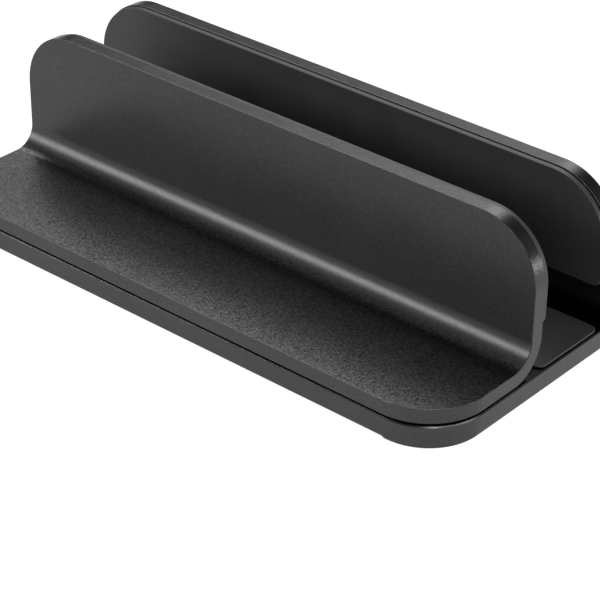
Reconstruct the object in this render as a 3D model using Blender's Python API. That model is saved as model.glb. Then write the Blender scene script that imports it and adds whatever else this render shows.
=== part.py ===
"""Adjustable upright laptop dock: a flat base plate with two L-shaped wings that stand a closed laptop on edge.

Frame: +X along the slot, +Y from the front wing to the rear wing, +Z up.
The origin is on the floor, under the middle of the dock. Sizes are in metres.
"""

import math

import bmesh
import bpy
from mathutils import Matrix, Vector

# Base plate
BASE_LENGTH = 0.1706
BASE_THICKNESS = 0.0053
BASE_CORNER_RADIUS = 0.0163

# Wings: one plate each, bent into an L
WING_LENGTH = 0.1700
WING_PLATE = 0.0040
WING_CORNER_RADIUS = 0.0168
FLANGE_DEPTH = 0.0350
FIN_HEIGHT = 0.0397
BEND_RADIUS = 0.0060
WING_EDGE_INSET = 0.00025
WING_CLEARANCE = 0.0004

# Laptop slot between the two wing pads, and how far each wing slides from where it stands
SLOT_WIDTH = 0.0225
NARROWEST_SLOT = 0.0140
WIDEST_SLOT = 0.0420

# Silicone pads
WING_PAD_PROUD = 0.0016
WING_PAD_INSET = 0.0004
WING_PAD_BOTTOM = 0.0121
FLOOR_PAD_PROUD = 0.0009
FLOOR_PAD_WIDTH = 0.0243
FLOOR_PAD_END_INSET = 0.0005
PAD_CORNER_RADIUS = 0.0024
GLUE_GAP = 0.00025

# Foot strips under both ends of the base
FOOT_HEIGHT = 0.0015
FOOT_WIDTH = 0.0184
FOOT_INSET = 0.0012
FOOT_INNER_RADIUS = 0.0032

# Clamp screws, washers and threaded inserts
SCREW_X = 0.0550
SCREW_FROM_FLANGE_EDGE = 0.0168
SCREW_RADIUS = 0.00195
SCREW_HEAD_RADIUS = 0.0035
SCREW_HEAD_HEIGHT = 0.0019
HEX_ACROSS_FLATS = 0.0025
HEX_DEPTH = 0.0012
WASHER_RADIUS = 0.0040
WASHER_THICKNESS = 0.0006
INSERT_WALL = 0.0009
INSERT_LENGTH = 0.0029
RUNNING_GAP = 0.00015
SEAT_GAP = 0.00025

# Recesses in the base for the clamp screws
COUNTERBORE_DEPTH = 0.0032

# Small edge chamfers and the fineness of round shapes
EDGE_CHAMFER = 0.0003
ARC_STEPS = 10
ROUND_STEPS = 32

# Levels and places that follow from the sizes above
BASE_BOTTOM = FOOT_HEIGHT
BASE_TOP = BASE_BOTTOM + BASE_THICKNESS
WING_BOTTOM = BASE_TOP + WING_CLEARANCE
FIN_INNER_Y = SLOT_WIDTH / 2 + WING_PAD_PROUD
FIN_OUTER_Y = FIN_INNER_Y + WING_PLATE
FLANGE_EDGE_Y = FIN_OUTER_Y + FLANGE_DEPTH
BASE_DEPTH = 2 * (FLANGE_EDGE_Y + WING_EDGE_INSET)
SCREW_Y = FLANGE_EDGE_Y - SCREW_FROM_FLANGE_EDGE
INWARD_TRAVEL = (SLOT_WIDTH - NARROWEST_SLOT) / 2
OUTWARD_TRAVEL = (WIDEST_SLOT - SLOT_WIDTH) / 2
COUNTERBORE_TOP = BASE_BOTTOM + COUNTERBORE_DEPTH
WASHER_TOP = COUNTERBORE_TOP - SEAT_GAP
HEAD_TOP = WASHER_TOP - WASHER_THICKNESS - SEAT_GAP
WASHER_HOLE_RADIUS = SCREW_RADIUS + RUNNING_GAP
INSERT_BORE_RADIUS = SCREW_RADIUS + RUNNING_GAP
INSERT_RADIUS = INSERT_BORE_RADIUS + INSERT_WALL
SLOT_HALF_WIDTH = SCREW_RADIUS + 2 * RUNNING_GAP
COUNTERBORE_HALF_WIDTH = WASHER_RADIUS + 2 * RUNNING_GAP
SCREW_TIP = WING_BOTTOM + INSERT_LENGTH


def clear_scene():
    for obj in list(bpy.data.objects):
        bpy.data.objects.remove(obj, do_unlink=True)


def make_material(name, colour, roughness, metallic):
    material = bpy.data.materials.new(name)
    material.use_nodes = True
    shader = material.node_tree.nodes["Principled BSDF"]
    shader.inputs["Base Color"].default_value = (*colour, 1.0)
    shader.inputs["Roughness"].default_value = roughness
    shader.inputs["Metallic"].default_value = metallic
    return material


def anodised_aluminium():
    return make_material("black_anodised_aluminium", (0.055, 0.055, 0.058), 0.45, 1.0)


def silicone():
    return make_material("black_silicone", (0.030, 0.030, 0.031), 0.70, 0.0)


def blackened_steel():
    return make_material("blackened_steel", (0.090, 0.090, 0.095), 0.38, 1.0)


def zinc_steel():
    return make_material("zinc_steel", (0.560, 0.570, 0.580), 0.32, 1.0)


def finish_object(name, mesh_maker, material, location=(0, 0, 0), parent=None, turn=0.0):
    """Turns a bmesh into a named, closed, smooth-shaded object at its place."""
    bmesh.ops.recalc_face_normals(mesh_maker, faces=mesh_maker.faces)
    mesh = bpy.data.meshes.new(name)
    mesh_maker.to_mesh(mesh)
    mesh_maker.free()
    mesh.shade_smooth()
    mesh.set_sharp_from_angle(angle=math.radians(35))
    mesh.materials.append(material)
    obj = bpy.data.objects.new(name, mesh)
    obj.location = location
    obj.rotation_euler = (0, 0, turn)
    obj.parent = parent
    bpy.context.scene.collection.objects.link(obj)
    return obj


def make_cutter(name, mesh_maker, location, parent=None):
    cutter = finish_object(name, mesh_maker, None, location, parent)
    cutter.hide_render = True
    cutter.display_type = "WIRE"
    return cutter


def cut(obj, cutter):
    modifier = obj.modifiers.new("cut " + cutter.name, "BOOLEAN")
    modifier.operation = "DIFFERENCE"
    modifier.solver = "EXACT"
    modifier.object = cutter


def chamfer_edges(obj):
    modifier = obj.modifiers.new("edge chamfer", "BEVEL")
    modifier.width = EDGE_CHAMFER
    modifier.segments = 1
    modifier.limit_method = "ANGLE"
    modifier.angle_limit = math.radians(50)


def rounded_outline(corners):
    """Points of a closed outline. Each corner is (x, y, radius), in order anticlockwise."""
    points = []
    for index, (x, y, radius) in enumerate(corners):
        here = Vector((x, y))
        before = Vector(corners[index - 1][:2])
        after = Vector(corners[(index + 1) % len(corners)][:2])
        back = (before - here).normalized()
        ahead = (after - here).normalized()
        centre = here + (back + ahead) * radius
        for step in range(ARC_STEPS + 1):
            angle = math.pi / 2 * step / ARC_STEPS
            points.append(centre - ahead * radius * math.cos(angle) - back * radius * math.sin(angle))
    return points


def box_outline(low_x, high_x, low_y, high_y, low_radius, high_radius):
    """An upright rectangle: low_radius rounds its two lower corners and high_radius the upper ones."""
    return rounded_outline(
        [
            (low_x, low_y, low_radius),
            (high_x, low_y, low_radius),
            (high_x, high_y, high_radius),
            (low_x, high_y, high_radius),
        ]
    )


def extruded(points, height):
    """A flat outline in X and Y, raised by height."""
    shape = bmesh.new()
    face = shape.faces.new([shape.verts.new((x, y, 0)) for x, y in points])
    raised = bmesh.ops.extrude_face_region(shape, geom=[face])
    new_points = [item for item in raised["geom"] if isinstance(item, bmesh.types.BMVert)]
    bmesh.ops.translate(shape, vec=(0, 0, height), verts=new_points)
    return shape


def turned(profile):
    """A solid of revolution about Z from a closed (radius, height) profile."""
    shape = bmesh.new()
    points = [shape.verts.new((radius, 0, height)) for radius, height in profile]
    edges = [shape.edges.new((points[i], points[(i + 1) % len(points)])) for i in range(len(points))]
    bmesh.ops.spin(
        shape,
        geom=points + edges,
        axis=(0, 0, 1),
        cent=(0, 0, 0),
        angle=2 * math.pi,
        steps=ROUND_STEPS,
        use_merge=True,
    )
    bmesh.ops.remove_doubles(shape, verts=shape.verts, dist=1e-6)
    loose = [edge for edge in shape.edges if not edge.link_faces]
    bmesh.ops.delete(shape, geom=loose, context="EDGES")
    return shape


def ring(inner_radius, outer_radius, height):
    return turned([(inner_radius, 0), (outer_radius, 0), (outer_radius, height), (inner_radius, height)])


def disc(radius, height, sides):
    shape = bmesh.new()
    bmesh.ops.create_cone(
        shape, cap_ends=True, segments=sides, radius1=radius, radius2=radius, depth=height
    )
    bmesh.ops.translate(shape, vec=(0, 0, height / 2), verts=shape.verts)
    return shape


def half_width(length, radius, from_end):
    """Half the width of a plate with rounded corners, at a distance in from its rounded end."""
    if from_end >= radius:
        return length / 2
    return length / 2 - radius + math.sqrt(radius**2 - (radius - from_end) ** 2)


def wing_stations():
    """(outer point, plate normal, half width) along the L, from the flange's edge to the fin's top.

    The outer face is the one seen from outside the dock: the flange's top and the fin's outside.
    """
    corner_steps = [1 - math.cos(math.pi / 2 * step / ARC_STEPS) for step in range(ARC_STEPS + 1)]
    corner = [WING_CORNER_RADIUS * share for share in corner_steps]
    up = Vector((0, 0, 1))
    outward = Vector((0, -1, 0))
    top = WING_PLATE
    stations = []
    for depth in corner:
        width = half_width(WING_LENGTH, WING_CORNER_RADIUS, depth)
        stations.append((Vector((0, depth, top)), up, width))
    bend_centre = Vector((0, FLANGE_DEPTH - BEND_RADIUS, top + BEND_RADIUS))
    for step in range(ARC_STEPS + 1):
        angle = math.pi / 2 * step / ARC_STEPS
        normal = Vector((0, -math.sin(angle), math.cos(angle)))
        stations.append((bend_centre - normal * BEND_RADIUS, normal, WING_LENGTH / 2))
    for depth in reversed(corner):
        width = half_width(WING_LENGTH, WING_CORNER_RADIUS, depth)
        stations.append((Vector((0, FLANGE_DEPTH, FIN_HEIGHT - depth)), outward, width))
    return stations


def bent_plate():
    """The wing's plate: one rectangle for each station, bridged to the next and capped at both ends."""
    shape = bmesh.new()
    sections = []
    for point, normal, width in wing_stations():
        low = point - normal * WING_PLATE
        side = Vector((width, 0, 0))
        corners = (point - side, point + side, low + side, low - side)
        sections.append([shape.verts.new(corner) for corner in corners])
    for first, second in zip(sections, sections[1:]):
        for index in range(4):
            after = (index + 1) % 4
            shape.faces.new((first[index], first[after], second[after], second[index]))
    shape.faces.new(sections[0])
    shape.faces.new(list(reversed(sections[-1])))
    return shape


def stadium(half_breadth, low_y, high_y, height):
    """A slot cutter: round ends about low_y and high_y."""
    outline = box_outline(
        -half_breadth, half_breadth, low_y - half_breadth, high_y + half_breadth, half_breadth, half_breadth
    )
    shape = extruded(outline, height)
    bmesh.ops.remove_doubles(shape, verts=shape.verts, dist=1e-6)
    return shape


def make_base(metal):
    outline = box_outline(
        -BASE_LENGTH / 2,
        BASE_LENGTH / 2,
        -BASE_DEPTH / 2,
        BASE_DEPTH / 2,
        BASE_CORNER_RADIUS,
        BASE_CORNER_RADIUS,
    )
    base = finish_object("base_plate", extruded(outline, BASE_THICKNESS), metal, (0, 0, BASE_BOTTOM))
    chamfer_edges(base)
    spare = BASE_THICKNESS
    for side in (-1, 1):
        for end in (-1, 1):
            travel = sorted((-side * INWARD_TRAVEL, side * OUTWARD_TRAVEL))
            through = stadium(SLOT_HALF_WIDTH, *travel, BASE_THICKNESS + 2 * spare)
            recess = stadium(COUNTERBORE_HALF_WIDTH, *travel, COUNTERBORE_DEPTH + spare)
            place = (end * SCREW_X, side * SCREW_Y, BASE_BOTTOM - spare)
            name = screw_place_name(side, end)
            cut(base, make_cutter("slot cutter " + name, through, place))
            cut(base, make_cutter("recess cutter " + name, recess, place))
    return base


def screw_place_name(side, end):
    return ("front_" if side < 0 else "rear_") + ("left" if end < 0 else "right")


def make_floor_pad(rubber):
    half_length = BASE_LENGTH / 2 - FLOOR_PAD_END_INSET
    half_depth = FLOOR_PAD_WIDTH / 2
    outline = box_outline(
        -half_length, half_length, -half_depth, half_depth, PAD_CORNER_RADIUS, PAD_CORNER_RADIUS
    )
    pad = extruded(outline, FLOOR_PAD_PROUD - GLUE_GAP)
    return finish_object("floor_pad", pad, rubber, (0, 0, BASE_TOP + GLUE_GAP))


def make_foot_strip(name, end, rubber):
    """A strip under one end of the base. Its outer corners follow the base's corners."""
    outer = BASE_LENGTH / 2 - FOOT_INSET
    half_depth = BASE_DEPTH / 2 - FOOT_INSET
    outer_radius = BASE_CORNER_RADIUS - FOOT_INSET
    outline = rounded_outline(
        [
            (outer - FOOT_WIDTH, -half_depth, FOOT_INNER_RADIUS),
            (outer, -half_depth, outer_radius),
            (outer, half_depth, outer_radius),
            (outer - FOOT_WIDTH, half_depth, FOOT_INNER_RADIUS),
        ]
    )
    strip = extruded(outline, FOOT_HEIGHT - GLUE_GAP)
    turn = 0.0 if end > 0 else math.pi
    return finish_object(name, strip, rubber, turn=turn)


def make_carriage(name, side):
    """The empty that a wing's pieces ride on. It slides along Y, and the rear one faces backwards."""
    carriage = bpy.data.objects.new(name, None)
    carriage.location = (0, side * FLANGE_EDGE_Y, WING_BOTTOM)
    carriage.rotation_euler = (0, 0, 0.0 if side < 0 else math.pi)
    bpy.context.scene.collection.objects.link(carriage)
    return carriage


def make_wing(name, metal, carriage):
    wing = finish_object(name, bent_plate(), metal, parent=carriage)
    chamfer_edges(wing)
    hole_depth = INSERT_LENGTH + SEAT_GAP
    spare = WING_PLATE
    for end in (-1, 1):
        hole = disc(INSERT_RADIUS + SEAT_GAP, hole_depth + spare, ROUND_STEPS)
        place = (end * SCREW_X, SCREW_FROM_FLANGE_EDGE, -spare)
        cut(wing, make_cutter(f"{name} hole cutter {end}", hole, place, carriage))
    return wing


def make_wing_pad(name, rubber, carriage):
    """The pad on the fin's inner face, made flat and then stood up."""
    half_length = WING_LENGTH / 2 - WING_PAD_INSET
    top = FIN_HEIGHT - WING_PAD_INSET
    top_radius = WING_CORNER_RADIUS - WING_PAD_INSET
    outline = box_outline(
        -half_length, half_length, WING_PAD_BOTTOM, top, PAD_CORNER_RADIUS, top_radius
    )
    pad = extruded(outline, WING_PAD_PROUD - GLUE_GAP)
    bmesh.ops.rotate(pad, matrix=Matrix.Rotation(math.pi / 2, 3, "X"), verts=pad.verts)
    return finish_object(name, pad, rubber, (0, FLANGE_DEPTH + WING_PLATE + WING_PAD_PROUD, 0), carriage)


def make_insert(name, steel, place, carriage):
    insert = ring(INSERT_BORE_RADIUS, INSERT_RADIUS, INSERT_LENGTH)
    return finish_object(name, insert, steel, place, carriage)


def make_washer(name, steel, place, carriage):
    washer = ring(WASHER_HOLE_RADIUS, WASHER_RADIUS, WASHER_THICKNESS)
    return finish_object(name, washer, steel, place, carriage)


def make_screw(name, steel, place, carriage):
    """A low-head screw, head down, with its origin on its own axis at the top of the head."""
    shank_length = SCREW_TIP - HEAD_TOP
    shape = turned(
        [
            (0, -SCREW_HEAD_HEIGHT),
            (SCREW_HEAD_RADIUS - EDGE_CHAMFER, -SCREW_HEAD_HEIGHT),
            (SCREW_HEAD_RADIUS, -SCREW_HEAD_HEIGHT + EDGE_CHAMFER),
            (SCREW_HEAD_RADIUS, 0),
            (SCREW_RADIUS, 0),
            (SCREW_RADIUS, shank_length - EDGE_CHAMFER),
            (SCREW_RADIUS - EDGE_CHAMFER, shank_length),
            (0, shank_length),
        ]
    )
    screw = finish_object(name, shape, steel, place, carriage)
    corner_radius = HEX_ACROSS_FLATS / 2 / math.cos(math.pi / 6)
    spare = SCREW_HEAD_HEIGHT
    socket = disc(corner_radius, HEX_DEPTH + spare, 6)
    low = (place[0], place[1], place[2] - SCREW_HEAD_HEIGHT - spare)
    cut(screw, make_cutter(name + " socket cutter", socket, low, carriage))
    return screw


def make_clamp(place_name, x, metals, carriage):
    """One clamp point: a screw and washer from below, and the insert that the screw threads into."""
    blackened, zinc = metals
    y = SCREW_FROM_FLANGE_EDGE
    make_insert(place_name + "_insert", zinc, (x, y, 0), carriage)
    washer_bottom = WASHER_TOP - WASHER_THICKNESS - WING_BOTTOM
    make_washer(place_name + "_washer", blackened, (x, y, washer_bottom), carriage)
    make_screw(place_name + "_screw", blackened, (x, y, HEAD_TOP - WING_BOTTOM), carriage)


def main():
    clear_scene()
    metal = anodised_aluminium()
    rubber = silicone()
    metals = (blackened_steel(), zinc_steel())
    make_base(metal)
    make_floor_pad(rubber)
    make_foot_strip("left_foot_strip", -1, rubber)
    make_foot_strip("right_foot_strip", 1, rubber)
    for side, name in ((-1, "front_wing"), (1, "rear_wing")):
        carriage = make_carriage(name + "_carriage", side)
        make_wing(name, metal, carriage)
        make_wing_pad(name + "_pad", rubber, carriage)
        for end in (-1, 1):
            # The rear carriage is turned round, so its local X runs the other way.
            make_clamp(screw_place_name(side, end), -side * end * SCREW_X, metals, carriage)


main()
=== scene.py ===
# %% [markdown]
# # An upright laptop dock, from frame to finish
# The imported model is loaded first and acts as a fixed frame: every piece made below takes its
# place and its outline from it. The real dock is bent and machined aluminium, blasted fine and
# anodised black, with black silicone where a laptop touches it. Nearly all of its character is in
# soft bends, thin bright edges and a fine grain, so that is where the work goes.

# %% Load the frame
import math

import bmesh
import bpy
from mathutils import Matrix, Vector


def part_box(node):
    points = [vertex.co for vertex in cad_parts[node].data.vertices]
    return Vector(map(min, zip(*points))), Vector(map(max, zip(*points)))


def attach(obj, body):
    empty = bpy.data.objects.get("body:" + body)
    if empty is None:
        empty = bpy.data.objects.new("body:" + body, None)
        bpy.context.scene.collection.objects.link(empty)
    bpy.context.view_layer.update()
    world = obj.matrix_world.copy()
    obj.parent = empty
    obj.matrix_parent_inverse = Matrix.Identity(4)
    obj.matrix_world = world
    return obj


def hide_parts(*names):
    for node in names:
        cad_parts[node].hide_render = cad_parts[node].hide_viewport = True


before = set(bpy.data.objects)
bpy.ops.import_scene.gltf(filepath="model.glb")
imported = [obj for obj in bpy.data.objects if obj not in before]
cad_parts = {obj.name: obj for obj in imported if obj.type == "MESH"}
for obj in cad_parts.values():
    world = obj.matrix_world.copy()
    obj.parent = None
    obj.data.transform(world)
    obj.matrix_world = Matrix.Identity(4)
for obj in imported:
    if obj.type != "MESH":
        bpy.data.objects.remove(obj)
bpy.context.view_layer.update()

# %% [markdown]
# ## Sizes
# A node's box gives where a piece lies. What a box can't say, such as a corner's radius, is named
# here once. All sizes are in metres.

# %% Sizes that the boxes don't hold
PLATE = 0.0040
WING_CORNER = 0.0168
BEND_RADIUS = 0.0060
BASE_CORNER = 0.0163
PAD_CORNER = 0.0024
FOOT_INSET = 0.0012
FOOT_INNER_CORNER = 0.0032
SCREW_RADIUS = 0.00195
INSERT_HOLE_GAP = 0.00025
GLUE_FILM = 0.00022
SLOT_HALF_WIDTH = 0.00225
RECESS_HALF_WIDTH = 0.0043
RECESS_DEPTH = 0.0032
INWARD_TRAVEL = 0.00425
OUTWARD_TRAVEL = 0.00975

# How much of each kind of edge is broken, and how finely round shapes are divided
METAL_EDGE = 0.00018
BASE_UNDER_EDGE = 0.00010
BASE_TOP_CHAMFER = 0.00028
SILICONE_EDGE = 0.00022
ARC_STEPS = 20
HOLE_STEPS = 64
WELD_DISTANCE = 1e-6


def size_of(node):
    low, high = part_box(node)
    return low, high, high - low


base_low, base_high, base_size = size_of("base_plate")
wing_low, _, wing_size = size_of("front_wing")
print(f"base {base_size.x * 1000:.1f} x {base_size.y * 1000:.1f} x {base_size.z * 1000:.1f} mm")
print(f"wing {wing_size.x * 1000:.1f} x {wing_size.y * 1000:.1f} x {wing_size.z * 1000:.1f} mm")

# %% [markdown]
# ## Helpers for every piece
# Each finished piece is one plain mesh with its place in the mesh, riding on one body and
# standing for one node of the frame. `settle` does that bookkeeping and prints how many edges are
# open, which should be none. `baked` turns live modifiers into such a mesh, and `soften_edges`
# breaks the sharp edges as a real maker would.


# %% Bookkeeping helpers
def link(name, data):
    obj = bpy.data.objects.new(name, data)
    bpy.context.scene.collection.objects.link(obj)
    return obj


def baked(obj):
    """Replaces the object's mesh by what its modifiers make of it."""
    graph = bpy.context.evaluated_depsgraph_get()
    mesh = bpy.data.meshes.new_from_object(obj.evaluated_get(graph))
    obj.modifiers.clear()
    obj.data = mesh
    return obj


def faults_in(mesh):
    """(open or doubled edges, volume in cubic millimetres)"""
    shape = bmesh.new()
    shape.from_mesh(mesh)
    open_edges = sum(1 for edge in shape.edges if len(edge.link_faces) != 2)
    volume = shape.calc_volume(signed=True) * 1e9
    shape.free()
    return open_edges, volume


def settle(obj, body, slot, *nodes):
    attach(obj, body)
    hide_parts(*nodes)
    open_edges, volume = faults_in(obj.data)
    print(f"{obj.name}: {len(obj.data.polygons)} faces, {open_edges} open edges, {volume:.0f} mm3")
    return obj


def soften_edges(obj, width, segments=3, angle=40):
    bevel = obj.modifiers.new("edge", "BEVEL")
    bevel.width = width
    bevel.segments = segments
    bevel.limit_method = "ANGLE"
    bevel.angle_limit = math.radians(angle)
    bevel.harden_normals = True
    # Short edges round a hole would hold the whole bevel back, and nothing here is close enough
    # to overlap.
    bevel.use_clamp_overlap = False


# %% [markdown]
# ## Finish 1: blasted and anodised aluminium
# The plate is blasted with fine grit and then anodised. Up close that is a field of tiny pits
# about half a millimetre across, each with its own slope, so the surface sparkles a little where
# light comes in low and goes velvety where it doesn't. The black is a dye in a thin oxide film
# over metal, so the finish is a dark metal: all that it shows is a dimmed reflection. A fine
# noise makes the pits, as height and as tone, and a broad one makes the faint clouding of the dye
# bath. Both are read in object coordinates, so that the grain stays with the metal. The grain is
# fainter on the fin than on the flange, and changes over as one turns up into the other. On the
# flange its tone is partly painted sparkle: the pits' tone strays far more there, standing in for
# low light from behind that glints in them. Edges are milled after the blasting, and get the same
# finish with hardly any pits.


# %% Node helpers
NOISE_LOW, NOISE_HIGH = 0.3, 0.7


def new_material(name):
    material = bpy.data.materials.new(name)
    material.use_nodes = True
    tree = material.node_tree
    return material, tree, tree.nodes["Principled BSDF"]


def noise(tree, coordinates, size, detail=2.0, roughness=0.5):
    """A noise whose blobs are about size metres across."""
    texture = tree.nodes.new("ShaderNodeTexNoise")
    texture.inputs["Scale"].default_value = 1.0 / size
    texture.inputs["Detail"].default_value = detail
    texture.inputs["Roughness"].default_value = roughness
    tree.links.new(coordinates, texture.inputs["Vector"])
    return texture.outputs["Fac"]


def spread(tree, value, low, high, from_low=NOISE_LOW, from_high=NOISE_HIGH):
    """The value carried over to another range. A noise hardly ever leaves its middle range."""
    remap = tree.nodes.new("ShaderNodeMapRange")
    remap.inputs["From Min"].default_value = from_low
    remap.inputs["From Max"].default_value = from_high
    remap.inputs["To Min"].default_value = low
    remap.inputs["To Max"].default_value = high
    tree.links.new(value, remap.inputs["Value"])
    return remap.outputs["Result"]


def multiply(tree, first, second):
    node = tree.nodes.new("ShaderNodeMath")
    node.operation = "MULTIPLY"
    tree.links.new(first, node.inputs[0])
    tree.links.new(second, node.inputs[1])
    return node.outputs["Value"]


def grey(tree, value, tint):
    """A colour of the given tint whose brightness is a computed value."""
    node = tree.nodes.new("ShaderNodeVectorMath")
    node.operation = "SCALE"
    node.inputs[0].default_value = tint
    tree.links.new(value, node.inputs["Scale"])
    return node.outputs["Vector"]


def bump(tree, shader, height, distance, strength=1.0):
    node = tree.nodes.new("ShaderNodeBump")
    node.inputs["Distance"].default_value = distance
    node.inputs["Strength"].default_value = strength
    tree.links.new(height, node.inputs["Height"])
    tree.links.new(node.outputs["Normal"], shader.inputs["Normal"])


def object_coordinates(tree):
    return tree.nodes.new("ShaderNodeTexCoord").outputs["Object"]


# %% Black anodised aluminium
PIT_SIZE = 0.0005
DYE_CLOUD_SIZE = 0.018
DYE_TONE = (0.056, 0.061)
COOL_TINT = (1.0, 1.0, 1.02)
FLANGE_TOP = wing_low.z + PLATE
TURN_UP_STARTS = FLANGE_TOP + 0.0001
TURN_UP_ENDS = FLANGE_TOP + 0.0012


def height_ramp(tree, place, at_flange, at_fin):
    """A value that changes as the flange turns up into the fin."""
    apart = tree.nodes.new("ShaderNodeSeparateXYZ")
    tree.links.new(place, apart.inputs[0])
    return spread(tree, apart.outputs["Z"], at_flange, at_fin, TURN_UP_STARTS, TURN_UP_ENDS)


def mix(tree, share, at_zero, at_one):
    """at_zero where share is 0, at_one where it is 1."""
    node = tree.nodes.new("ShaderNodeMix")
    tree.links.new(share, node.inputs["Factor"])
    tree.links.new(at_zero, node.inputs["A"])
    tree.links.new(at_one, node.inputs["B"])
    return node.outputs["Result"]


def anodised_aluminium(name, roughness, fin_roughness, pit_depth, sparkle, fin_share=1.0):
    """sparkle: how far a pit's tone strays; a wide spread is partly painted sparkle. fin_share: how
    much of it the fin has.
    """
    material, tree, shader = new_material(name)
    place = object_coordinates(tree)
    pits = noise(tree, place, PIT_SIZE, roughness=0.6)
    cloud = noise(tree, place, DYE_CLOUD_SIZE)
    # The flange's tone is grain and painted sparkle: its pits stray far in tone, standing in for
    # low light from behind glinting in them. The fin keeps only fin_share of that spread.
    flange_grain_and_painted_sparkle = spread(tree, pits, 1.0 - sparkle, 1.0 + sparkle)
    on_fin = spread(tree, pits, 1.0 - sparkle * fin_share, 1.0 + sparkle * fin_share)
    turned_up = height_ramp(tree, place, 0.0, 1.0)
    grain = mix(tree, turned_up, flange_grain_and_painted_sparkle, on_fin)
    tone = multiply(tree, grain, spread(tree, cloud, *DYE_TONE))
    tree.links.new(grey(tree, tone, COOL_TINT), shader.inputs["Base Color"])
    gloss = height_ramp(tree, place, roughness, fin_roughness)
    roughness = multiply(tree, gloss, spread(tree, cloud, 0.96, 1.04))
    tree.links.new(roughness, shader.inputs["Roughness"])
    shader.inputs["Metallic"].default_value = 1.0
    depth = multiply(tree, pits, height_ramp(tree, place, 1.0, fin_share))
    bump(tree, shader, depth, pit_depth)
    return material


# On the blasted flange, the wide spread of pit tone is partly painted sparkle for low back light.
blasted = anodised_aluminium(
    "blasted_black_aluminium",
    roughness=0.30,
    fin_roughness=0.34,
    pit_depth=0.00008,
    sparkle=0.8,
    fin_share=0.2,
)
milled = anodised_aluminium(
    "milled_black_aluminium",
    roughness=0.27,
    fin_roughness=0.27,
    pit_depth=0.00004,
    sparkle=0.15,
)
print("finishes:", blasted.name, "and", milled.name)

# %% [markdown]
# ## Finish 2: silicone
# The pads and foot strips are cut from black silicone sheet. It has a broad, dull highlight, a
# skin that is a touch uneven, and it catches lint, which lightens it in faint specks. A fine
# noise makes the specks and a low bump, which keeps it from looking like paint, and a broad one
# makes the patches that hands have rubbed smoother.


# %% Black silicone
LINT_SIZE = 0.0006
HANDLING_SIZE = 0.012
SILICONE_TONE = (0.026, 0.031)
SILICONE_ROUGHNESS = (0.42, 0.48)
SILICONE_GLOSS = 0.35
SKIN_HEIGHT = 0.00003


def silicone():
    material, tree, shader = new_material("black_silicone")
    place = object_coordinates(tree)
    lint = noise(tree, place, LINT_SIZE)
    handled = noise(tree, place, HANDLING_SIZE, detail=3.0)
    tone = multiply(tree, spread(tree, lint, 0.9, 1.1), spread(tree, handled, *SILICONE_TONE))
    tree.links.new(grey(tree, tone, COOL_TINT), shader.inputs["Base Color"])
    tree.links.new(spread(tree, handled, *SILICONE_ROUGHNESS), shader.inputs["Roughness"])
    shader.inputs["Specular IOR Level"].default_value = SILICONE_GLOSS
    bump(tree, shader, lint, SKIN_HEIGHT, strength=0.5)
    return material


rubber = silicone()
print("finish:", rubber.name)

# %% [markdown]
# ## Finish 3: screws and inserts
# The screws and washers are steel with a black oxide skin, thin enough that turned grooves and
# rubbed spots show through. The inserts are zinc plated. Both are real metals, so their colour is
# the colour of their reflection.


# %% Blackened and zinc plated steel
RUBBED_SPOT_SIZE = 0.0011
PLATING_GRAIN_SIZE = 0.00018
PLATING_GRAIN_HEIGHT = 0.00001


def plated_steel(name, tone, roughness, tint):
    material, tree, shader = new_material(name)
    place = object_coordinates(tree)
    rubbed = noise(tree, place, RUBBED_SPOT_SIZE, detail=3.0)
    grain = noise(tree, place, PLATING_GRAIN_SIZE, detail=1.0)
    worn_tone = spread(tree, rubbed, tone * 0.8, tone * 1.25)
    shade = multiply(tree, worn_tone, spread(tree, grain, 0.92, 1.08))
    tree.links.new(grey(tree, shade, tint), shader.inputs["Base Color"])
    worn_roughness = spread(tree, rubbed, roughness * 0.85, roughness * 1.2)
    tree.links.new(worn_roughness, shader.inputs["Roughness"])
    shader.inputs["Metallic"].default_value = 1.0
    bump(tree, shader, grain, PLATING_GRAIN_HEIGHT, strength=0.5)
    return material


blackened = plated_steel("black_oxide_steel", tone=0.090, roughness=0.38, tint=(1.0, 1.0, 1.04))
zinc = plated_steel("zinc_plated_steel", tone=0.560, roughness=0.30, tint=(1.0, 1.01, 1.03))
print("finishes:", blackened.name, "and", zinc.name)

# %% [markdown]
# ## Outlines
# The base, the pads and the foot strips are all flat shapes cut from a sheet, with round corners.
# One function gives such an outline from its corners, as straight stretches and quarter circles,
# and another raises it.


# %% Flat shapes with round corners
def round_cornered(corners):
    """Points of an outline from (x, y, radius) corners, in order anticlockwise."""
    points = []
    for index, (x, y, radius) in enumerate(corners):
        here = Vector((x, y))
        back = (Vector(corners[index - 1][:2]) - here).normalized()
        ahead = (Vector(corners[(index + 1) % len(corners)][:2]) - here).normalized()
        centre = here + (back + ahead) * radius
        for step in range(ARC_STEPS + 1):
            angle = math.pi / 2 * step / ARC_STEPS
            points.append(
                centre - ahead * radius * math.cos(angle) - back * radius * math.sin(angle)
            )
    return points


def raised(points, low, high):
    """A bmesh solid of the outline between two heights."""
    shape = bmesh.new()
    face = shape.faces.new([shape.verts.new((x, y, low)) for x, y in points])
    moved = bmesh.ops.extrude_face_region(shape, geom=[face])
    top = [item for item in moved["geom"] if isinstance(item, bmesh.types.BMVert)]
    bmesh.ops.translate(shape, vec=(0, 0, high - low), verts=top)
    bmesh.ops.remove_doubles(shape, verts=shape.verts, dist=WELD_DISTANCE)
    bmesh.ops.recalc_face_normals(shape, faces=shape.faces)
    return shape


def to_object(name, shape, material):
    mesh = bpy.data.meshes.new(name)
    shape.to_mesh(mesh)
    shape.free()
    mesh.shade_smooth()
    mesh.materials.append(material)
    return link(name, mesh)


def corners_of(low_x, high_x, low_y, high_y, low_radius, high_radius):
    return [
        (low_x, low_y, low_radius),
        (high_x, low_y, low_radius),
        (high_x, high_y, high_radius),
        (low_x, high_y, high_radius),
    ]


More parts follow.
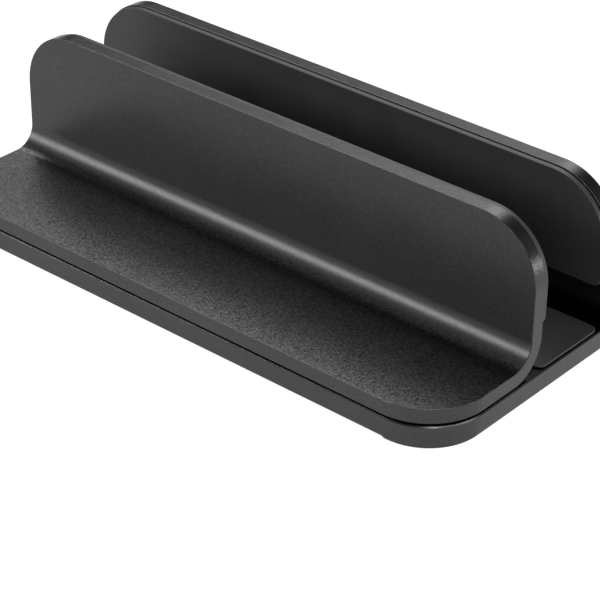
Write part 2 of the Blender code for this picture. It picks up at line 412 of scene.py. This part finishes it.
# %% [markdown]
# ## The base plate
# On the real dock this is a slab of aluminium a little over 5 mm thick, with four stepped slots
# milled from below: the narrow part lets a clamp screw pass, the wide part hides its head. The
# slab is raised from its outline, and its top rim gets a plain chamfer while it is still simple,
# because that thin bright line is what shows under the wings. The slots are then cut by exact
# Booleans, and all other edges get a smaller bevel. The slab's broad faces are blasted, and its
# sides and slots are milled. Normals stay smooth round the corners and sharp at the edges.


# %% Base plate
# An edge is on the rim if it lies this near the top. A face is broad and level, so blasted, if its
# normal is this nearly upright. Edges are beveled and kept crisp from these angles on.
RIM_BAND = 0.0001
NEARLY_UPRIGHT = 0.9
BEVEL_FROM_DEGREES = 50
BASE_CRISP_ANGLE = math.radians(20)


def slot_cutter(half_width, place, travel, low, high):
    """A slot with round ends, as long as its screw travels to either side of its place."""
    x, y = place
    outline = corners_of(
        x - half_width,
        x + half_width,
        y + travel[0] - half_width,
        y + travel[1] + half_width,
        half_width,
        half_width,
    )
    return to_object("cutter", raised(round_cornered(outline), low, high), None)


def subtract(obj, cutter):
    modifier = obj.modifiers.new("cut", "BOOLEAN")
    modifier.operation = "DIFFERENCE"
    modifier.solver = "EXACT"
    modifier.object = cutter


def centre_of(node):
    low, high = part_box(node)
    return (low + high) / 2


def make_base_plate():
    outline = corners_of(
        base_low.x, base_high.x, base_low.y, base_high.y, BASE_CORNER, BASE_CORNER
    )
    slab = raised(round_cornered(outline), base_low.z, base_high.z)
    rim = [
        edge for edge in slab.edges if all(end.co.z > base_high.z - RIM_BAND for end in edge.verts)
    ]
    bmesh.ops.bevel(slab, geom=rim, offset=BASE_TOP_CHAMFER, segments=1, affect="EDGES")
    base = to_object("base_slab", slab, blasted)
    below = base_low.z - base_size.z
    above = base_high.z + base_size.z
    recess_top = base_low.z + RECESS_DEPTH
    cutters = []
    for outward, side in ((-1, "front"), (1, "rear")):
        travel = sorted((-outward * INWARD_TRAVEL, outward * OUTWARD_TRAVEL))
        for end in ("left", "right"):
            place = centre_of(f"{side}_{end}_screw").xy
            cutters.append(slot_cutter(SLOT_HALF_WIDTH, place, travel, below, above))
            cutters.append(slot_cutter(RECESS_HALF_WIDTH, place, travel, below, recess_top))
    for cutter in cutters:
        subtract(base, cutter)
    soften_edges(base, BASE_UNDER_EDGE, angle=BEVEL_FROM_DEGREES)
    baked(base)
    base.data.materials.append(milled)
    for face in base.data.polygons:
        face.material_index = 1 if abs(face.normal.z) < NEARLY_UPRIGHT else 0
    base.data.set_sharp_from_angle(angle=BASE_CRISP_ANGLE)
    for cutter in cutters:
        bpy.data.objects.remove(cutter)
    return base


settle(make_base_plate(), "base", "anodised_metal", "base_plate")

# %% [markdown]
# ## The bent wings
# Each wing is one sheet: a blank with two round corners at either end, bent through a right angle
# along a line. The flange and the fin are flat, and only the bend is curved. That is a rule, so
# Geometry Nodes make it: a flat face for the flange, a strip of narrow faces that turns round the
# bend, and a flat face for the fin, welded along their shared edges. Every point then finds its
# own direction through the sheet, towards the bend's centre line while it is in the bend and
# square to the face when it isn't, and a copy moved along that direction by the sheet's thickness
# gives the other side. The radius, depth, height and thickness are inputs of the tree.


# %% Small tools for building node trees
class Tree:
    """A geometry node tree with named inputs and short ways to add nodes."""

    def __init__(self, name):
        self.group = bpy.data.node_groups.new(name, "GeometryNodeTree")
        for way in ("INPUT", "OUTPUT"):
            self.group.interface.new_socket(
                "Geometry", in_out=way, socket_type="NodeSocketGeometry"
            )
        self.start = self.group.nodes.new("NodeGroupInput")
        self.end = self.group.nodes.new("NodeGroupOutput")

    def input(self, name, kind):
        self.group.interface.new_socket(name, in_out="INPUT", socket_type="NodeSocket" + kind)
        return self.start.outputs[name]

    def number(self, name):
        return self.input(name, "Float")

    def vector(self, name):
        return self.input(name, "Vector")

    def material(self, name="Material"):
        return self.input(name, "Material")

    def put(self, value, socket):
        if isinstance(value, bpy.types.NodeSocket):
            self.group.links.new(value, socket)
        else:
            socket.default_value = value

    def node(self, kind, inputs=None, **settings):
        node = self.group.nodes.new(kind)
        for key, value in settings.items():
            setattr(node, key, value)
        for key, value in (inputs or {}).items():
            self.put(value, node.inputs[key])
        return node

    def math(self, operation, first, second=0.0, third=0.0):
        node = self.node("ShaderNodeMath", operation=operation)
        for value, socket in zip((first, second, third), node.inputs):
            self.put(value, socket)
        return node.outputs[0]

    def xyz(self, x, y, z):
        return self.node("ShaderNodeCombineXYZ", {"X": x, "Y": y, "Z": z}).outputs[0]

    def spot(self):
        """Where each point is: X, Y and Z by name."""
        position = self.node("GeometryNodeInputPosition").outputs[0]
        return self.node("ShaderNodeSeparateXYZ", {"Vector": position}).outputs

    def moved(self, geometry, by, turned_by=(0.0, 0.0, 0.0)):
        inputs = {"Geometry": geometry, "Translation": by, "Rotation": turned_by}
        return self.node("GeometryNodeTransform", inputs).outputs[0]

    def welded(self, *geometries):
        inputs = {"Geometry": self.join(*geometries), "Distance": WELD_DISTANCE}
        return self.node("GeometryNodeMergeByDistance", inputs).outputs[0]

    def join(self, *geometries):
        node = self.node("GeometryNodeJoinGeometry")
        for geometry in reversed(geometries):
            self.group.links.new(geometry, node.inputs[0])
        return node.outputs[0]

    def finish(self, geometry, material, only=True):
        """Ends the tree. Only the faces of the selection are given the material."""
        real = self.node("GeometryNodeRealizeInstances", {"Geometry": geometry}).outputs[0]
        inputs = {"Geometry": real, "Material": material, "Selection": only}
        painted = self.node("GeometryNodeSetMaterial", inputs).outputs[0]
        self.group.links.new(painted, self.end.inputs[0])
        return self.group


def grown(name, group, values):
    """An object whose mesh the tree makes. Inputs are set by identifier, before it runs."""
    obj = link(name, bpy.data.meshes.new(name))
    modifier = obj.modifiers.new("shape", "NODES")
    modifier.node_group = group
    sockets = [item for item in group.interface.items_tree if item.in_out == "INPUT"]
    identifiers = {socket.name: socket.identifier for socket in sockets}
    for key, value in values.items():
        modifier[identifiers[key]] = value
    return obj


# %% The tree that makes a bent wing
def wing_tree():
    tree = Tree("bent_wing")
    length = tree.number("Length")
    plate = tree.number("Plate")
    corner = tree.number("Corner Radius")
    depth = tree.number("Flange Depth")
    height = tree.number("Fin Height")
    bend = tree.number("Bend Radius")
    face_material = tree.material("Face Material")
    edge_material = tree.material("Edge Material")
    bend_start = tree.math("SUBTRACT", depth, bend)
    bend_top = tree.math("ADD", plate, bend)
    fin_flat = tree.math("SUBTRACT", height, bend_top)

    def rounded_flat(breadth, far_corners_round):
        """A flat face from y = 0 to y = breadth. Points 0 and 1 of a rectangle are its far ones."""
        sides = tree.node(
            "GeometryNodeCurvePrimitiveQuadrilateral", {"Width": length, "Height": breadth}
        )
        index = tree.node("GeometryNodeInputIndex").outputs[0]
        chosen = tree.math("LESS_THAN" if far_corners_round else "GREATER_THAN", index, 1.5)
        radius = tree.math("MULTIPLY", chosen, corner)
        rounded = tree.node(
            "GeometryNodeFilletCurve",
            {"Curve": sides.outputs[0], "Radius": radius, "Count": ARC_STEPS},
            mode="POLY",
        ).outputs[0]
        filled = tree.node("GeometryNodeFillCurve", {"Curve": rounded}, mode="NGONS").outputs[0]
        return tree.moved(filled, tree.xyz(0.0, tree.math("MULTIPLY", breadth, 0.5), 0.0))

    flange = tree.moved(rounded_flat(bend_start, False), tree.xyz(0.0, 0.0, plate))
    fin = tree.moved(
        rounded_flat(fin_flat, True), tree.xyz(0.0, depth, bend_top), (math.pi / 2, 0.0, 0.0)
    )

    strip = tree.node(
        "GeometryNodeMeshGrid",
        {"Size X": 1.0, "Size Y": 1.0, "Vertices X": 2, "Vertices Y": ARC_STEPS + 1},
    ).outputs[0]
    spot = tree.spot()
    angle = tree.math("MULTIPLY", tree.math("ADD", spot["Y"], 0.5), math.pi / 2)
    across = tree.math("MULTIPLY", spot["X"], length)
    along = tree.math("MULTIPLY_ADD", tree.math("SINE", angle), bend, bend_start)
    rise = tree.math("SUBTRACT", bend_top, tree.math("MULTIPLY", tree.math("COSINE", angle), bend))
    curved = tree.node(
        "GeometryNodeSetPosition", {"Geometry": strip, "Position": tree.xyz(across, along, rise)}
    ).outputs[0]
    sheet = tree.welded(flange, curved, fin)

    spot = tree.spot()
    to_centre_y = tree.math("MINIMUM", tree.math("SUBTRACT", bend_start, spot["Y"]), 0.0)
    to_centre_z = tree.math("MAXIMUM", tree.math("SUBTRACT", bend_top, spot["Z"]), 0.0)
    towards_centre = tree.node("ShaderNodeVectorMath", operation="NORMALIZE")
    tree.put(tree.xyz(0.0, to_centre_y, to_centre_z), towards_centre.inputs[0])
    through = tree.node("ShaderNodeVectorMath", operation="SCALE")
    tree.put(towards_centre.outputs[0], through.inputs[0])
    tree.put(tree.math("MULTIPLY", plate, -1.0), through.inputs["Scale"])

    walls = tree.node(
        "GeometryNodeExtrudeMesh", {"Mesh": sheet, "Offset Scale": 0.0, "Individual": False}
    )
    back = tree.node(
        "GeometryNodeSetPosition",
        {
            "Geometry": walls.outputs["Mesh"],
            "Selection": walls.outputs["Top"],
            "Offset": through.outputs[0],
        },
    ).outputs[0]
    back = tree.node("GeometryNodeFlipFaces", {"Mesh": back}).outputs[0]
    sheet, back = (
        tree.node(
            "GeometryNodeSetMaterial", {"Geometry": face, "Material": face_material}
        ).outputs[0]
        for face in (sheet, back)
    )
    return tree.finish(tree.welded(sheet, back), edge_material, walls.outputs["Side"])


bent_wing = wing_tree()
print("wing tree:", len(bent_wing.nodes), "nodes")

# %% [markdown]
# The tree makes a wing at the origin, flange edge first. Each wing is then moved in its mesh to
# where its body stands, and the rear one is turned half round. Holes for the inserts are drilled
# from below, and the edges get a single flat chamfer: a narrow plane that catches the light as
# one clean line.


# %% Front and rear wing
def insert_hole(insert):
    low, high, size = size_of(insert)
    centre = (low + high) / 2
    radius = size.x / 2 + INSERT_HOLE_GAP
    top = high.z + INSERT_HOLE_GAP
    bottom = low.z - PLATE
    hole = bmesh.new()
    bmesh.ops.create_cone(
        hole,
        cap_ends=True,
        segments=HOLE_STEPS,
        radius1=radius,
        radius2=radius,
        depth=top - bottom,
    )
    middle = (centre.x, centre.y, (top + bottom) / 2)
    bmesh.ops.translate(hole, vec=middle, verts=hole.verts)
    return to_object("cutter", hole, None)


def make_wing(side):
    name = f"{side}_wing"
    low, high, size = size_of(name)
    wing = grown(
        f"{name}_plate",
        bent_wing,
        {
            "Length": size.x,
            "Plate": PLATE,
            "Corner Radius": WING_CORNER,
            "Flange Depth": size.y - PLATE,
            "Fin Height": size.z,
            "Bend Radius": BEND_RADIUS,
            "Face Material": blasted,
            "Edge Material": milled,
        },
    )
    baked(wing)
    wing.data.shade_smooth()
    facing_rear = low.y > 0
    flange_edge = high.y if facing_rear else low.y
    turn = Matrix.Rotation(math.pi if facing_rear else 0.0, 4, "Z")
    wing.data.transform(Matrix.Translation((0, flange_edge, low.z)) @ turn)
    cutters = [insert_hole(f"{side}_{end}_insert") for end in ("left", "right")]
    for cutter in cutters:
        subtract(wing, cutter)
    soften_edges(wing, METAL_EDGE, segments=1)
    baked(wing)
    for cutter in cutters:
        bpy.data.objects.remove(cutter)
    return settle(wing, name, "anodised_metal", name)


make_wing("front")
make_wing("rear")

# %% [markdown]
# ## Silicone pads and foot strips
# Die-cut silicone has crisp corners in plan, but its edge rolls over slightly where the blade
# pressed. Each pad is its outline raised to its thickness, with a bevel of three steps round both
# faces.


# %% Pads and foot strips
# Stands an outline up that was drawn lying down: its Y becomes height, its height becomes depth.
UPRIGHT = Matrix(((1, 0, 0, 0), (0, 0, 1, 0), (0, 1, 0, 0), (0, 0, 0, 1)))


def make_pad(node, body, corners, low, high, upright=False):
    shape = raised(round_cornered(corners), low, high)
    if upright:
        bmesh.ops.transform(shape, matrix=UPRIGHT, verts=shape.verts)
        bmesh.ops.recalc_face_normals(shape, faces=shape.faces)
    pad = to_object(f"{node}_silicone", shape, rubber)
    soften_edges(pad, SILICONE_EDGE)
    baked(pad)
    return settle(pad, body, "silicone", node)


def make_wing_pad(node, body):
    """The pad is glued down, so it reaches back to its fin."""
    low, high, size = size_of(node)
    if low.y > 0:
        high.y += GLUE_FILM
    else:
        low.y -= GLUE_FILM
    top_radius = WING_CORNER - (wing_size.x - size.x) / 2
    corners = corners_of(low.x, high.x, low.z, high.z, PAD_CORNER, top_radius)
    return make_pad(node, body, corners, low.y, high.y, upright=True)


def make_floor_pad():
    low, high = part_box("floor_pad")
    corners = corners_of(low.x, high.x, low.y, high.y, PAD_CORNER, PAD_CORNER)
    return make_pad("floor_pad", "base", corners, low.z, high.z)


def make_foot_strip(node, end):
    """Outer corners follow the base's. The left strip, end -1, is the right one turned round."""
    low, high, size = size_of(node)
    outer = high.x if end > 0 else -low.x
    inner = outer - size.x
    outer_radius = BASE_CORNER - FOOT_INSET
    corners = [
        (inner, low.y, FOOT_INNER_CORNER),
        (outer, low.y, outer_radius),
        (outer, high.y, outer_radius),
        (inner, high.y, FOOT_INNER_CORNER),
    ]
    if end < 0:
        corners = [(-x, -y, radius) for x, y, radius in corners]
    return make_pad(node, "base", corners, low.z, high.z)


make_wing_pad("front_wing_pad", "front_wing")
make_wing_pad("rear_wing_pad", "rear_wing")
make_floor_pad()
make_foot_strip("left_foot_strip", -1)
make_foot_strip("right_foot_strip", 1)

# %% [markdown]
# ## Clamp screws
# The screws sit head down in the base's recesses. Each has a low head with a knurled rim and a
# hexagon socket, and a thread that runs up into its insert. Knurl and thread are both rules for a
# radius: on the head it rises and falls with the angle alone, and on the shank with the angle and
# the height together, which is what makes a helix. So the tree takes two plain cylinders with
# many rings, moves each point out or in by such a rule, unites them, and cuts the socket. Each of
# the four screws grows from it at its own place, on its own body.


# %% The tree that makes a clamp screw
# The shank starts this share of the way up the head, so that the two overlap.
NECK_OF_HEAD = 0.8
KNURL_RIDGES = 36
HEAD_RINGS = 10
SHANK_SIDES = 36
SHANK_RINGS = 90


def radial_rule(tree, solid, radius):
    """Multiplies each point's distance from the Z axis by a value of its own."""
    spot = tree.spot()
    reach = tree.xyz(
        tree.math("MULTIPLY", spot["X"], radius),
        tree.math("MULTIPLY", spot["Y"], radius),
        spot["Z"],
    )
    return tree.node("GeometryNodeSetPosition", {"Geometry": solid, "Position": reach}).outputs[0]


def angle_round(tree):
    spot = tree.spot()
    return tree.math("ARCTAN2", spot["Y"], spot["X"])


def ridges_round(tree, angle, depth):
    """A row of round ridges: how far below their crests the surface lies."""
    wave = tree.math("ABSOLUTE", tree.math("SINE", tree.math("MULTIPLY", angle, KNURL_RIDGES / 2)))
    return tree.math("MULTIPLY", wave, depth)


def upright_cylinder(tree, around, rings, low, high):
    depth = tree.math("SUBTRACT", high, low)
    solid = tree.node(
        "GeometryNodeMeshCylinder",
        {"Vertices": around, "Side Segments": rings, "Radius": 1.0, "Depth": depth},
        fill_type="NGON",
    )
    middle = tree.math("MULTIPLY", tree.math("ADD", low, high), 0.5)
    return tree.moved(solid.outputs[0], tree.xyz(0.0, 0.0, middle))


def fade_at_ends(tree, height, low, high, over):
    """1 between two heights, falling to 0 at each of them over a short way."""
    from_low = tree.math("DIVIDE", tree.math("SUBTRACT", height, low), over)
    from_high = tree.math("DIVIDE", tree.math("SUBTRACT", high, height), over)
    nearest = tree.math("MINIMUM", from_low, from_high)
    return tree.math("MAXIMUM", tree.math("MINIMUM", nearest, 1.0), 0.0)


def screw_tree():
    tree = Tree("clamp_screw")
    place = tree.vector("Place")
    head_radius = tree.number("Head Radius")
    head_height = tree.number("Head Height")
    shank_radius = tree.number("Shank Radius")
    total = tree.number("Total Height")
    flats = tree.number("Across Flats")
    socket_depth = tree.number("Socket Depth")
    pitch = tree.number("Pitch")
    thread_depth = tree.number("Thread Depth")
    knurl_depth = tree.number("Knurl Depth")
    chamfer = tree.number("Chamfer")
    material = tree.material()

    angle, height = angle_round(tree), tree.spot()["Z"]
    inside = fade_at_ends(tree, height, 0.0, head_height, chamfer)
    knurled = tree.math("MULTIPLY", ridges_round(tree, angle, knurl_depth), inside)
    shoulder = tree.math("MULTIPLY", tree.math("SUBTRACT", 1.0, inside), chamfer)
    radius = tree.math("SUBTRACT", tree.math("SUBTRACT", head_radius, shoulder), knurled)
    head = upright_cylinder(tree, KNURL_RIDGES * 4, HEAD_RINGS, 0.0, head_height)
    head = radial_rule(tree, head, radius)

    turns = tree.math("DIVIDE", height, pitch)
    phase = tree.math("SUBTRACT", turns, tree.math("DIVIDE", angle, 2 * math.pi))
    groove = tree.math("MULTIPLY", tree.math("PINGPONG", phase, 0.5), 2.0)
    groove = tree.math("MULTIPLY", groove, thread_depth)
    threaded = fade_at_ends(tree, height, head_height, total, pitch)
    groove = tree.math("MULTIPLY", groove, threaded)
    tip = fade_at_ends(tree, height, tree.math("MULTIPLY", total, -1.0), total, chamfer)
    point = tree.math("MULTIPLY", tree.math("SUBTRACT", 1.0, tip), chamfer)
    radius = tree.math("SUBTRACT", tree.math("SUBTRACT", shank_radius, point), groove)
    neck = tree.math("MULTIPLY", head_height, NECK_OF_HEAD)
    shank = upright_cylinder(tree, SHANK_SIDES, SHANK_RINGS, neck, total)
    shank = radial_rule(tree, shank, radius)

    key = tree.node(
        "GeometryNodeMeshCylinder",
        {
            "Vertices": 6,
            "Radius": tree.math("DIVIDE", flats, math.sqrt(3)),
            "Depth": tree.math("MULTIPLY", socket_depth, 2.0),
        },
        fill_type="NGON",
    ).outputs[0]
    united = tree.node("GeometryNodeMeshBoolean", operation="UNION", solver="EXACT")
    tree.put(shank, united.inputs["Mesh 2"])
    tree.put(head, united.inputs["Mesh 2"])
    socketed = tree.node("GeometryNodeMeshBoolean", operation="DIFFERENCE", solver="EXACT")
    tree.put(united.outputs["Mesh"], socketed.inputs["Mesh 1"])
    tree.put(key, socketed.inputs["Mesh 2"])
    return tree.finish(tree.moved(socketed.outputs["Mesh"], place), material)


clamp_screw = screw_tree()
print("screw tree:", len(clamp_screw.nodes), "nodes")

# %% [markdown]
# The four screws are alike: M4, with a thread of 0.7 mm to the turn, a head 1.9 mm high and a
# socket for a 2.5 mm key. Only their places differ. Surfaces that meet at more than a shallow
# angle keep a crisp edge.

# %% Four clamp screws
HEAD_HEIGHT = 0.0019
KEY_ACROSS_FLATS = 0.0025
SOCKET_DEPTH = 0.0012
THREAD_PITCH = 0.0007
THREAD_DEPTH = 0.00022
KNURL_DEPTH = 0.00013
SCREW_CHAMFER = 0.0003
CRISP_ANGLE = math.radians(35)


def make_screw(node):
    low, high, size = size_of(node)
    centre = (low + high) / 2
    screw = grown(
        f"{node}_steel",
        clamp_screw,
        {
            "Place": (centre.x, centre.y, low.z),
            "Head Radius": size.x / 2,
            "Head Height": HEAD_HEIGHT,
            "Shank Radius": SCREW_RADIUS,
            "Total Height": size.z,
            "Across Flats": KEY_ACROSS_FLATS,
            "Socket Depth": SOCKET_DEPTH,
            "Pitch": THREAD_PITCH,
            "Thread Depth": THREAD_DEPTH,
            "Knurl Depth": KNURL_DEPTH,
            "Chamfer": SCREW_CHAMFER,
            "Material": blackened,
        },
    )
    baked(screw)
    screw.data.set_sharp_from_angle(angle=CRISP_ANGLE)
    return settle(screw, node, "blackened_steel", node)


for side in ("front", "rear"):
    for end in ("left", "right"):
        make_screw(f"{side}_{end}_screw")

# %% [markdown]
# ## Washers and threaded inserts
# Both are rings. A washer is stamped, with a rolled rim, and an insert is turned, with straight
# ridges round its outside that bite into the wing and a waist halfway up. A ring is a small
# rounded rectangle carried round a circle, so one tree serves for both: the ridges are again a
# rule for the radius, with a depth of zero for the washers.


# %% The tree that makes a ring
RING_STEPS = 144
SECTION_STEPS = 40
# The waist reaches this share of the ring's height up and down from its middle.
WAIST_SHARE = 0.1


def ring_tree():
    tree = Tree("ring")
    place = tree.vector("Place")
    inner = tree.number("Inner Radius")
    outer = tree.number("Outer Radius")
    height = tree.number("Height")
    edge = tree.number("Edge Radius")
    ridge_depth = tree.number("Ridge Depth")
    waist_depth = tree.number("Waist Depth")
    material = tree.material()

    middle = tree.math("MULTIPLY", tree.math("ADD", inner, outer), 0.5)
    circle = tree.node(
        "GeometryNodeCurvePrimitiveCircle", {"Resolution": RING_STEPS, "Radius": middle}
    ).outputs[0]
    wall = tree.math("SUBTRACT", outer, inner)
    section = tree.node(
        "GeometryNodeCurvePrimitiveQuadrilateral", {"Width": wall, "Height": height}
    ).outputs[0]
    section = tree.node(
        "GeometryNodeFilletCurve", {"Curve": section, "Radius": edge, "Count": 3}, mode="POLY"
    ).outputs[0]
    section = tree.node(
        "GeometryNodeResampleCurve", {"Curve": section, "Count": SECTION_STEPS}
    ).outputs[0]
    swept = tree.node(
        "GeometryNodeCurveToMesh", {"Curve": circle, "Profile Curve": section}
    ).outputs[0]

    spot = tree.spot()
    level = spot["Z"]
    from_axis = tree.node("ShaderNodeVectorMath", operation="LENGTH")
    tree.put(tree.xyz(spot["X"], spot["Y"], 0.0), from_axis.inputs[0])
    distance = from_axis.outputs["Value"]
    outside = tree.math("GREATER_THAN", distance, tree.math("SUBTRACT", outer, edge))
    half = tree.math("MULTIPLY", height, 0.5)
    inside = fade_at_ends(tree, level, tree.math("MULTIPLY", half, -1.0), half, edge)
    ridges = ridges_round(tree, angle_round(tree), ridge_depth)
    waist_reach = tree.math("MULTIPLY", height, WAIST_SHARE)
    near_middle = tree.math("LESS_THAN", tree.math("ABSOLUTE", level), waist_reach)
    waist = tree.math("MULTIPLY", near_middle, waist_depth)
    pattern = tree.math("MAXIMUM", ridges, waist)
    inward = tree.math("MULTIPLY", tree.math("MULTIPLY", outside, inside), pattern)
    scale = tree.math("SUBTRACT", 1.0, tree.math("DIVIDE", inward, distance))
    shaped = radial_rule(tree, swept, scale)
    return tree.finish(tree.moved(shaped, place), material)


ring = ring_tree()
print("ring tree:", len(ring.nodes), "nodes")


# %% Four washers and four inserts
HOLE_RADIUS = SCREW_RADIUS + 0.00015


def make_ring(node, body, slot, material, edge, ridge_depth=0.0, waist_depth=0.0):
    low, high, size = size_of(node)
    piece = grown(
        f"{node}_ring",
        ring,
        {
            "Place": tuple((low + high) / 2),
            "Inner Radius": HOLE_RADIUS,
            "Outer Radius": size.x / 2,
            "Height": size.z,
            "Edge Radius": edge,
            "Ridge Depth": ridge_depth,
            "Waist Depth": waist_depth,
            "Material": material,
        },
    )
    baked(piece)
    shape = bmesh.new()
    shape.from_mesh(piece.data)
    bmesh.ops.recalc_face_normals(shape, faces=shape.faces)
    shape.to_mesh(piece.data)
    shape.free()
    piece.data.set_sharp_from_angle(angle=CRISP_ANGLE)
    return settle(piece, body, slot, node)


for side in ("front", "rear"):
    for end in ("left", "right"):
        washer, insert = (f"{side}_{end}_{kind}" for kind in ("washer", "insert"))
        make_ring(washer, f"{side}_wing", "blackened_steel", blackened, edge=0.00012)
        make_ring(
            insert,
            f"{side}_wing",
            "zinc_steel",
            zinc,
            edge=0.00018,
            ridge_depth=0.00012,
            waist_depth=0.00030,
        )

# %% [markdown]
# ## Floor and light
# The dock stands on a plain pale floor in a pale room. A black, half-matt plate has next to no
# colour of its own, so what is seen in it is the room: the fins mirror the floor in front of
# them, and the flanges mirror the air behind. The floor glows a little by itself, so that it
# stays white without a light strong enough to wash out the blacks.


# %% Floor and room
FLOOR_SIZE = 8.0
FLOOR_GREY = 0.12
FLOOR_GLOW = 0.96
ROOM_BRIGHTNESS = 0.12
WHITE = (1.0, 1.0, 1.0, 1.0)


def make_floor():
    shape = bmesh.new()
    bmesh.ops.create_grid(shape, x_segments=1, y_segments=1, size=FLOOR_SIZE / 2)
    material, tree, shader = new_material("pale_floor")
    shader.inputs["Base Color"].default_value = (FLOOR_GREY, FLOOR_GREY, FLOOR_GREY, 1.0)
    shader.inputs["Roughness"].default_value = 0.9
    shader.inputs["Specular IOR Level"].default_value = 0.0
    shader.inputs["Emission Color"].default_value = WHITE
    shader.inputs["Emission Strength"].default_value = FLOOR_GLOW
    floor = to_object("floor", shape, material)
    return floor


def make_room():
    world = bpy.data.worlds.new("white_room")
    world.use_nodes = True
    background = world.node_tree.nodes["Background"]
    background.inputs["Color"].default_value = WHITE
    background.inputs["Strength"].default_value = ROOM_BRIGHTNESS
    bpy.context.scene.world = world


make_floor()
make_room()
bpy.context.scene.view_settings.view_transform = "Standard"
print("floor", FLOOR_SIZE, "m across")

# %% [markdown]
# ## Soft lights
# Each light is a large soft rectangle that faces the dock, placed where one kind of surface
# mirrors it towards the viewer. The front left window draws the bright line along the front bend,
# and the left window its soft lower edge. The back left window lights the flanges and the top
# edges, and the back right one, half sunk below the floor, the sides and the wings' ends. The
# right window draws the rim of the bend's end, a small strong light puts a glint on the base's
# front corner, and the overhead one fills in.


# %% Soft lights
def soft_light(name, azimuth, elevation, distance, size, radiance):
    """A rectangular light that faces the dock. Its azimuth runs from +X towards +Y, in degrees."""
    turn, rise = math.radians(azimuth), math.radians(elevation)
    direction = Vector(
        (math.cos(turn) * math.cos(rise), math.sin(turn) * math.cos(rise), math.sin(rise))
    )
    light = bpy.data.lights.new(name, "AREA")
    light.shape = "RECTANGLE"
    light.size, light.size_y = size
    light.energy = radiance * size[0] * size[1] * math.pi
    obj = link(name, light)
    obj.location = direction * distance
    obj.rotation_euler = direction.to_track_quat("Z", "Y").to_euler()
    return obj


# Name, azimuth, elevation, distance, width and height, radiance
LIGHTS = (
    ("front_left_window", -127, 22, 1.6, (1.5, 0.58), 6.4),
    ("left_window", -150, 48, 1.2, (0.5, 0.45), 0.6),
    ("back_left_window", 130, 51, 1.2, (1.0, 0.74), 4.3),
    ("back_right_window", 46, -3, 1.2, (0.8, 0.36), 8.0),
    ("right_window", 8, 39, 1.2, (1.0, 0.3), 5.0),
    ("corner_glint", -33, 54.5, 1.2, (0.26, 0.14), 24.0),
    ("overhead", 0, 88, 1.5, (0.8, 0.8), 2.6),
)
for light in LIGHTS:
    print(light[0], f"{soft_light(*light).data.energy:.1f} W")

# %% [markdown]
# ## The camera
# The dock is seen from its front right corner and a little above, from well back with a long
# lens, so the fins stay nearly parallel. Its base runs out of the frame at the left.

# %% Camera
AZIMUTH = math.radians(40.594)
ELEVATION = math.radians(31.397)
ROLL = math.radians(0.617)
DISTANCE = 0.5873
AIM = Vector((0.00936, -0.01236, -0.00386))
LENS = 136.06
SENSOR_WIDTH = 36.0
NEAREST, FURTHEST = 0.01, 50.0


def make_camera():
    """A camera that looks back along a line from the aim, turned a little about that line."""
    back = Vector(
        (
            math.sin(AZIMUTH) * math.cos(ELEVATION),
            -math.cos(AZIMUTH) * math.cos(ELEVATION),
            math.sin(ELEVATION),
        )
    )
    level = Vector((math.cos(AZIMUTH), math.sin(AZIMUTH), 0.0))
    upright = back.cross(level)
    right = level * math.cos(ROLL) + upright * math.sin(ROLL)
    up = back.cross(right)
    camera = bpy.data.cameras.new("camera")
    camera.lens = LENS
    camera.sensor_width = SENSOR_WIDTH
    camera.clip_start, camera.clip_end = NEAREST, FURTHEST
    obj = link("camera", camera)
    turn = Matrix((right, up, back)).transposed().to_4x4()
    obj.matrix_world = Matrix.Translation(AIM + back * DISTANCE) @ turn
    bpy.context.scene.camera = obj
    return obj


camera = make_camera()
print("camera at", [round(value, 4) for value in camera.matrix_world.translation])

# %% [markdown]
# The finished pieces have to fill the frame's box and no more.

# %% Scene brought up to date
bpy.context.view_layer.update()
